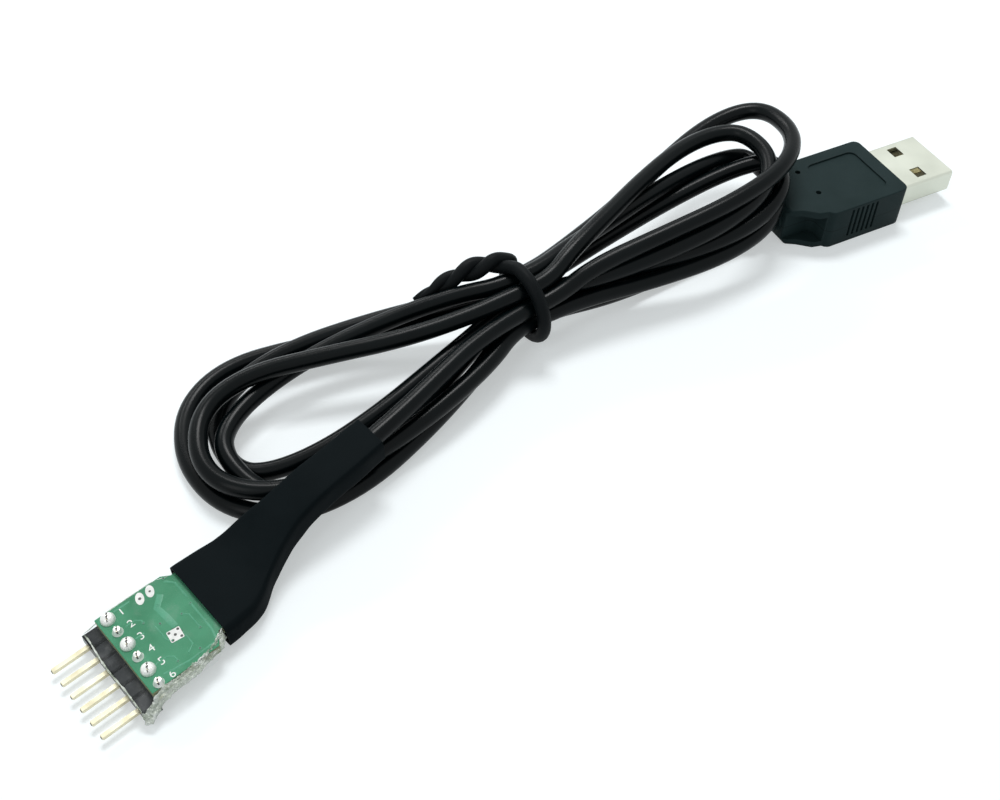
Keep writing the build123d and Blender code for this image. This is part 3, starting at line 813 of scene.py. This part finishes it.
for point in bpy.context.object.data.vertices:
    x = point.co.x / MM
    across = point.co.y / MM - seam_mid_y
    above = (point.co.z - seam_middle.z) / MM
    width = float(np.interp(x, seam_x, seam_width))
    point.co.y = (float(np.interp(x, seam_x, seam_y)) + across * width) * MM
    lift = float(np.interp(x, seam_x, seam_lift))
    point.co.z = (table_z + lift + seam_tilt * across + above) * MM
modify("SUBSURF", levels=1, render_levels=1)
crumple("seam_folds", 0.8, 0.9)
crumple("seam_creases", 0.35, 0.22)
finished("film_seam", film_gathered, "film_clear", smooth=60)


def film_edge(name, places, width):
    """A thickened, slightly crumpled edge of the film, along a line of places above the table."""
    points = [Vector(lifted(place)) * MM for place in places]
    take(round_line(name, points, width, along=10, around=3))
    bpy.ops.object.convert(target="MESH")
    crumple(f"{name}_crumple", 0.7, width)
    return finished(name, film_gathered, "film_clear", smooth=60)


film_edge("film_front_edge", [
    (0.1, 7.9, 0.5), (0.2, 8.0, 2.6), (0.4, 7.0, 3.0), (0.3, 5.4, 3.0), (0.0, 2.6, 3.0),
    (-0.1, -0.2, 3.0), (0.1, -3.5, 3.0), (0.0, -6.3, 3.0), (0.1, -7.9, 2.7), (0.1, -8.2, 0.5),
], 0.24)
film_edge("film_far_edge", [
    (0.4, 7.7, 2.9), (2.2, 7.5, 3.4), (3.4, 7.5, 4.3), (6.0, 7.55, 4.35), (9.0, 7.6, 4.3),
    (11.8, 7.6, 4.3), (13.4, 6.8, 4.3),
], 0.16)


# Solder joints: the odd ones are full domes, the even ones slimmer cones with hollow sides
full_joint = [(1.05, 0.0), (1.03, 0.2), (0.95, 0.46), (0.8, 0.7), (0.55, 0.86), (0.2, 0.92)]
slim_joint = [(0.78, 0.0), (0.68, 0.16), (0.58, 0.42), (0.54, 0.68), (0.46, 0.86), (0.16, 0.92)]
slot_normal = Vector((-0.885, 0.467, 0))
along_slot = Vector((0.467, 0.885, 0))
slot_half = 0.11
slot_depth = 0.15
slot_share = 0.72
joints = []
for number, pin_y in enumerate(pin_ys, start=1):
    rings = full_joint if number % 2 else slim_joint
    at = Vector((leg_x, pin_y, board_top_z))
    disc(at * MM, rings[0][0], 32)
    for (radius, height), (next_radius, next_height) in zip(rings, rings[1:]):
        extrude((0, 0, (next_height - height) * MM))
        shrink = next_radius / radius
        ring_at = (at + Vector((0, 0, next_height))) * MM
        bpy.ops.transform.resize(value=(shrink, shrink, 1), center_override=ring_at)
    face_outwards()
    for side in (-1, 1):
        bpy.ops.mesh.select_all(action="SELECT")
        edge_at = (at + slot_normal * slot_half * side) * MM
        bpy.ops.mesh.bisect(plane_co=edge_at, plane_no=slot_normal)
    slot_half_length = rings[0][0] * slot_share
    select_faces(
        lambda place, normal: abs((place - at).dot(slot_normal)) < slot_half
        and abs((place - at).dot(along_slot)) < slot_half_length
        and place.z > board_top_z + 0.1
    )
    extrude((0, 0, -slot_depth * MM))
    joints.append(bpy.context.object)
    # The sunk slot's faces are painted dark as shade
    two_finishes(joints[-1], solder_silver, painted_shade)
joined(*joints)
finished("solder_domes", solder_silver, "solder", "solder_joints", smooth=50)


# What is laid on the board's upper side
skin = 0.03
pad_corner = 0.18


def pad(name, at, size, turn, holes, round_ends=False):
    """A tinned pad with holes through it, and a disc of painted shade in each hole."""
    middle = Vector((*at, board_top_z)) * MM
    lie = (0, 0, turn)
    deselect()
    if round_ends:
        bpy.ops.mesh.primitive_circle_add(
            vertices=32, radius=MM / 2, fill_type="NGON", location=middle, rotation=lie,
        )
    else:
        bpy.ops.mesh.primitive_plane_add(size=MM, location=middle, rotation=lie)
    bpy.context.object.scale = (*size, 1)
    edit()
    if not round_ends:
        bpy.ops.mesh.bevel(offset=pad_corner * MM, segments=3, affect="VERTICES")
        bpy.ops.mesh.select_all(action="SELECT")
    extrude((0, 0, skin * MM))
    face_outwards()
    bpy.ops.object.mode_set(mode="OBJECT")
    plate = bpy.context.object
    wells = [(Vector((x, y, board_top_z)) * MM, hole_d / 2) for x, y, hole_d in holes]
    for well_at, radius in wells:
        deselect()
        bpy.ops.mesh.primitive_cylinder_add(
            vertices=20, radius=radius * MM, depth=MM, location=well_at,
        )
        cut(plate)
    plate.data.materials.append(pad_tin.material)
    plate.data.materials.append(painted_shade.material)
    # Each hole gets a dark disc of painted shade
    for well_at, radius in wells:
        disc(well_at, radius, 20)
        extrude((0, 0, skin / 4 * MM))
        bpy.ops.object.mode_set(mode="OBJECT")
        well = bpy.context.object
        well.data.materials.append(painted_shade.material)
        joined(plate, well)
    return finished(name, pad_tin, "solder")


square_at = (9.2, -1.75)
square_turn = radians(-8)
square_hole_d = 0.42
square_hole_pitch = 0.64
square_holes = [(*square_at, square_hole_d)]
for i in (-1, 1):
    for j in (-1, 1):
        along, across = i * square_hole_pitch, j * square_hole_pitch
        x = square_at[0] + along * cos(square_turn) - across * sin(square_turn)
        y = square_at[1] + along * sin(square_turn) + across * cos(square_turn)
        square_holes.append((x, y, square_hole_d))
pad("square_pad", square_at, (1.9, 1.9), square_turn, square_holes)
oval_size = (2.05, 1.2)
oval_turn = radians(70)
for name, oval_at, hole_d in (
    ("oval_pad_front", (8.65, 6.3), 0.45),
    ("oval_pad_rear", (10.3, 6.4), 0.35),
):
    pad(name, oval_at, oval_size, oval_turn, [(*oval_at, hole_d)], round_ends=True)


def track(name, places, width):
    """A copper track under the board's varnish, as a low rounded ridge."""
    points = [(x * MM, y * MM, board_top_z * MM) for x, y in places]
    take(round_line(name, points, width, kind="POLY", around=3))
    bpy.ops.object.convert(target="MESH")
    bpy.ops.object.mode_set(mode="EDIT")
    bpy.ops.mesh.select_all(action="SELECT")
    flat = 2 * skin / width
    bpy.ops.transform.resize(value=(1, 1, flat), center_override=(0, 0, board_top_z * MM))
    return finished(name, track_green, "board_green")


tracks = [
    ([(11.1, 5.0), (9.6, 3.5), (9.8, 1.4), (9.9, -0.7)], 0.95),
    ([(13.4, 1.0), (13.3, -4.2), (12.8, -6.2), (8.5, -6.3), (6.3, -6.0), (4.9, -5.7)], 0.3),
    ([(7.9, 1.2), (7.9, -1.6), (8.5, -2.3)], 0.22),
    ([(10.2, -2.7), (10.2, -4.4), (9.0, -5.2)], 0.22),
    ([(4.9, 6.9), (7.4, 6.9)], 0.3),
    ([(12.6, 6.5), (13.6, 5.3), (13.6, 2.2)], 0.3),
    ([(4.9, 3.8), (6.4, 3.8), (7.0, 3.2), (7.0, 2.7)], 0.22),
    ([(4.9, 1.3), (6.3, 1.3)], 0.22),
    ([(4.8, -3.8), (6.6, -3.8), (7.3, -4.4), (7.3, -5.3)], 0.22),
    ([(11.6, 0.4), (12.3, -0.3), (12.3, -3.0)], 0.22),
]
for number, (places, width) in enumerate(tracks, start=1):
    track(f"board_track_{number}", places, width)

# Vias: small tinned rings with a middle of painted shade
vias = [
    (12.8, 6.9), (9.9, 3.7), (7.0, 2.7), (8.6, 1.1), (10.5, -5.7),
    (7.3, -5.3), (12.3, -3.0), (11.6, 0.4), (13.4, 1.0),
]
via_r = 0.24
via_wall = 0.1
via_height = 1.6 * skin
rings = []
for x, y in vias:
    disc(Vector((x, y, board_top_z)) * MM, via_r, 16)
    extrude((0, 0, via_height * MM))
    bpy.ops.mesh.inset(thickness=via_wall * MM)
    extrude((0, 0, -skin * MM))
    rings.append(bpy.context.object)
    two_finishes(rings[-1], track_green, painted_shade)
joined(*rings)
finished("board_vias", track_green, "board_green")

# Plain pin numbers beside the joints
number_x = 5.3
number_drop = 0.62
number_size = 1.75
for number, pin_y in enumerate(pin_ys, start=1):
    deselect()
    bpy.ops.object.text_add(location=Vector((number_x, pin_y - number_drop, board_top_z)) * MM)
    text = bpy.context.object
    text.data.body = str(number)
    text.data.size = number_size * MM
    text.data.extrude = skin / 2 * MM
    bpy.ops.object.convert(target="MESH")
    bpy.ops.object.transform_apply(location=True, rotation=True, scale=True)
    finished(f"pin_number_{number}", number_white, "board_green", smooth=0)


# Plug moulding, shaped in its own directions from the middle of its front face and then laid down
boot_top = boot_height / 2
boot_corner = 1.3
boot_edge = 0.7
hollow_size = (7.5, 6.0, 5.4)
panel_size = (10.6, 11.0, 1.0)
panel_mid = -8.1
panel_depth = 0.3
marks = ((-15.6, 4.7), (-15.6, -1.7))
mark_r = 0.5
mark_height = 1.6
grip_count = 6
grip_pitch = 1.05
grip_mid = -9.6
grip_size = (0.5, 1.0, 6.0)
seat_gap = 0.04
block((boot_length, boot_width, boot_height), (-boot_length / 2, 0, 0), corner=boot_corner)
neck_stations = [
    # along, half width, top, bottom
    (-boot_length, boot_width / 2, boot_top, -boot_top),
    (-boot_length - 1.8, 6.2, boot_top, -boot_top),
    (-boot_length - 4.0, 4.4, boot_top, -boot_top),
    (-boot_length - 5.8, 3.6, boot_top - 0.2, -boot_top + 0.2),
    (-boot_length - 6.4, 2.9, 2.8, -2.8),
]
select_faces(lambda at, normal: normal.x < -0.9)
for before, after in zip(neck_stations, neck_stations[1:]):
    (x0, half0, top0, low0), (x1, half1, top1, low1) = before, after
    extrude(Vector((x1 - x0, 0, (top1 + low1 - top0 - low0) / 2)) * MM)
    middle = Vector((x1, 0, (top1 + low1) / 2)) * MM
    if before is neck_stations[0]:
        half0 = boot_width / 2 - boot_corner
    taper = (1, half1 / half0, (top1 - low1) / (top0 - low0))
    bpy.ops.transform.resize(value=taper, center_override=middle)
bpy.ops.object.mode_set(mode="OBJECT")
boot = bpy.context.object
modify("BEVEL", width=boot_edge * MM, segments=4, limit_method="ANGLE", angle_limit=radians(60))

# Hollowed sides behind the shoulder, under the top
for side in (-1, 1):
    block(hollow_size, (-boot_length - 4.0, side * 6.2, 0), corner=1.5)
    cut(boot)
# Bare panel, two round marks and the grip grooves
block(panel_size, (panel_mid, 0, boot_top + panel_size[2] / 2 - panel_depth), corner=boot_corner)
cut(boot)
for mark in marks:
    deselect()
    bpy.ops.mesh.primitive_cylinder_add(
        vertices=24, radius=mark_r * MM, depth=mark_height * MM,
        location=Vector((*mark, boot_top)) * MM,
    )
    edit()
    select_faces(lambda at, normal: normal.z < -0.9)
    bpy.ops.mesh.inset(thickness=0.12 * MM)
    cut(boot)
for side in (-1, 1):
    for number in range(grip_count):
        groove_x = grip_mid + (number - (grip_count - 1) / 2) * grip_pitch
        block(grip_size, (groove_x, side * boot_width / 2, 0.4), corner=0.2, corner_steps=3)
        cut(boot)
# Seat of the shell
seat_size = (2 * shell_seat, shell_width + seat_gap, shell_height + seat_gap)
block(seat_size, (0, 0, 0), corner=0.6, corner_axis="X")
cut(boot)

# Ringed strain relief
relief = [
    # along, radius
    (-22.4, 2.65),
    (-23.8, 2.5), (-23.85, 1.95), (-24.55, 1.95), (-24.6, 2.4),
    (-25.65, 2.35), (-25.7, 1.9), (-26.4, 1.9), (-26.45, 2.25),
    (-27.5, 2.2), (-27.55, 1.85), (-28.25, 1.85), (-28.3, 2.15),
    (-30.0, 2.1),
]
start_x, start_r = relief[0]
disc((start_x * MM, 0, 0), start_r, 40, turn=(0, pi / 2, 0))
for (x0, r0), (x1, r1) in zip(relief, relief[1:]):
    extrude(((x1 - x0) * MM, 0, 0))
    bpy.ops.transform.resize(value=(1, r1 / r0, r1 / r0), center_override=(x1 * MM, 0, 0))
face_outwards()
bpy.ops.object.mode_set(mode="OBJECT")
joined(boot, bpy.context.object)
boot.rotation_euler = (0, 0, plug_heading)
boot.location = Vector(lifted(plug_point(0))) * MM
bpy.ops.object.transform_apply(location=True, rotation=True, scale=True)
boot = finished("plug_moulding", boot_charcoal, "boot_charcoal", "plug_boot", smooth=35)


def smooth_line(name, places, thickness, finish, radii=()):
    """A round wire or cord through the row, with its finish."""
    piece = round_line(name, places, thickness)
    for point, radius in zip(piece.data.splines[0].points, radii):
        point.radius = radius
    piece.data.materials.append(finish.material)
    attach(piece, "root")
    return piece


# Tie: one rubber-covered wire round the waist, its two ends twisted together and drawn to a tip
tie_twist = [
    # x, y, lift, how far each strand lies from the middle, thickness of a strand against the ring's
    (70.5, 21.3, 9.7, 0.10, 0.26),
    (72.0, 20.8, 10.2, 0.28, 0.46),
    (73.6, 20.2, 10.7, 0.48, 0.66),
    (75.2, 19.6, 11.3, 0.66, 0.80),
    (76.8, 19.0, 11.9, 0.78, 0.90),
    (78.4, 18.3, 12.5, 0.86, 0.96),
    (80.0, 17.5, 13.1, 0.92, 1.0),
    (81.6, 16.6, 13.5, 0.98, 1.0),
    (83.2, 15.6, 13.8, 1.02, 1.0),
]
twist_turns = 1.5
twist_start = radians(-91)
tie_ring_r = waist_r + tie_clearance + tie_d / 2
tie_ring_points = 16
tie_head_turn = radians(61)
tie_head_gap = radians(17)
tie_ring_lean = 1.6
tie_wire_d = 0.94 * tie_d


def strand(phase):
    """One strand of the tie's twisted end, from its tip to the ring."""
    places, radii = [], []
    middles = [Vector(lifted(row[:3])) for row in tie_twist]
    for i, (middle, row) in enumerate(zip(middles, tie_twist)):
        ahead = (middles[min(i + 1, len(middles) - 1)] - middles[max(i - 1, 0)]).normalized()
        side = ahead.cross(Vector((0, 0, 1))).normalized()
        above = side.cross(ahead)
        turn = phase + twist_start + 2 * pi * twist_turns * i / (len(middles) - 1)
        places.append((middle + (side * cos(turn) + above * sin(turn)) * row[3]) * MM)
        radii.append(row[4])
    return places, radii


first_places, first_radii = strand(0)
second_places, second_radii = strand(pi)
tie_middle = Vector(lifted((*tie_at, tie_lift)))
across_hank = Vector((-sin(hank_lean), cos(hank_lean), 0))
along_hank = Vector((cos(hank_lean), sin(hank_lean), 0))
ring_places = []
for i in range(tie_ring_points + 1):
    share = i / tie_ring_points
    turn = tie_head_turn - tie_head_gap + share * (-2 * pi + 2 * tie_head_gap)
    out = across_hank * cos(turn) + Vector((0, 0, 1)) * sin(turn)
    lean = along_hank * (0.5 - share) * tie_ring_lean
    ring_places.append((tie_middle + out * tie_ring_r + lean) * MM)
tie_places = first_places + ring_places + second_places[::-1]
tie_radii = first_radii + [1.0] * len(ring_places) + second_radii[::-1]
tie = smooth_line("tie_wire", tie_places, tie_wire_d, tie_black, tie_radii)
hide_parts("twist_tie")

points, kept = hank_route()
route = [Vector(lifted(p)) * MM for p in settle(points, kept)]
cord = smooth_line("cord", route, cord_d, cord_black)
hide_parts("cord_lead", "cord_hank", "cord_tail")


def white_when_seen(tree):
    """One for rays that show the background or a reflection of it, and zero for light."""
    rays = tree.nodes.new("ShaderNodeLightPath").outputs
    value = rays["Is Camera Ray"]
    for kind in ("Is Glossy Ray", "Is Transmission Ray"):
        value = calc(tree, "MAXIMUM", value, rays[kind])
    return value


# Table, and soft lights from above and behind the cable
deselect()
bpy.ops.mesh.primitive_plane_add(size=3.0, location=(0.08, 0.0, table_z * MM))
table = bpy.context.object
table.name = "table"
table_white = Finish(
    "table_white", (0.56, 0.6, 0.62), (0.565, 0.605, 0.625), (0.55, 0.65), 0.01, 0.6, 60.0,
)
table_tree = table_white.material.node_tree
glow = calc(table_tree, "MULTIPLY", white_when_seen(table_tree), 0.45)
table_white.set(Emission_Color=(0.97, 1.0, 1.0, 1), Specular_IOR_Level=0.2)
table_white.links.new(glow, table_white.shader.inputs["Emission Strength"])
table.data.materials.append(table_white.material)

world = bpy.data.worlds.new("studio")
bpy.context.scene.world = world
world.use_nodes = True
background = world.node_tree.nodes["Background"]
background.inputs["Color"].default_value = (0.95, 0.99, 1.0, 1)
level = white_when_seen(world.node_tree)
brightness = world.node_tree.nodes.new("ShaderNodeMapRange")
brightness.inputs["To Min"].default_value = 0.36
world.node_tree.links.new(level, brightness.inputs["Value"])
world.node_tree.links.new(brightness.outputs["Result"], background.inputs["Strength"])

aim = Vector((0.08, 0.005, 0.0))
for name, place, size, energy in (
    ("window", (0.34, 0.28, 0.815), (0.34, 0.2), 4.8),
    ("back_strip", (0.23, 0.74, 0.5), (0.5, 0.08), 1.5),
    ("side_panel", (-0.55, -0.1, 0.6), (0.3, 0.5), 1.0),
):
    bpy.ops.object.light_add(type="AREA", location=place)
    lamp = bpy.context.object
    lamp.name = name
    lamp.data.shape = "RECTANGLE"
    lamp.data.size, lamp.data.size_y = size
    lamp.data.energy = energy
    lamp.rotation_euler = (aim - lamp.location).to_track_quat("-Z", "Y").to_euler()

bpy.context.scene.view_settings.view_transform = "Standard"
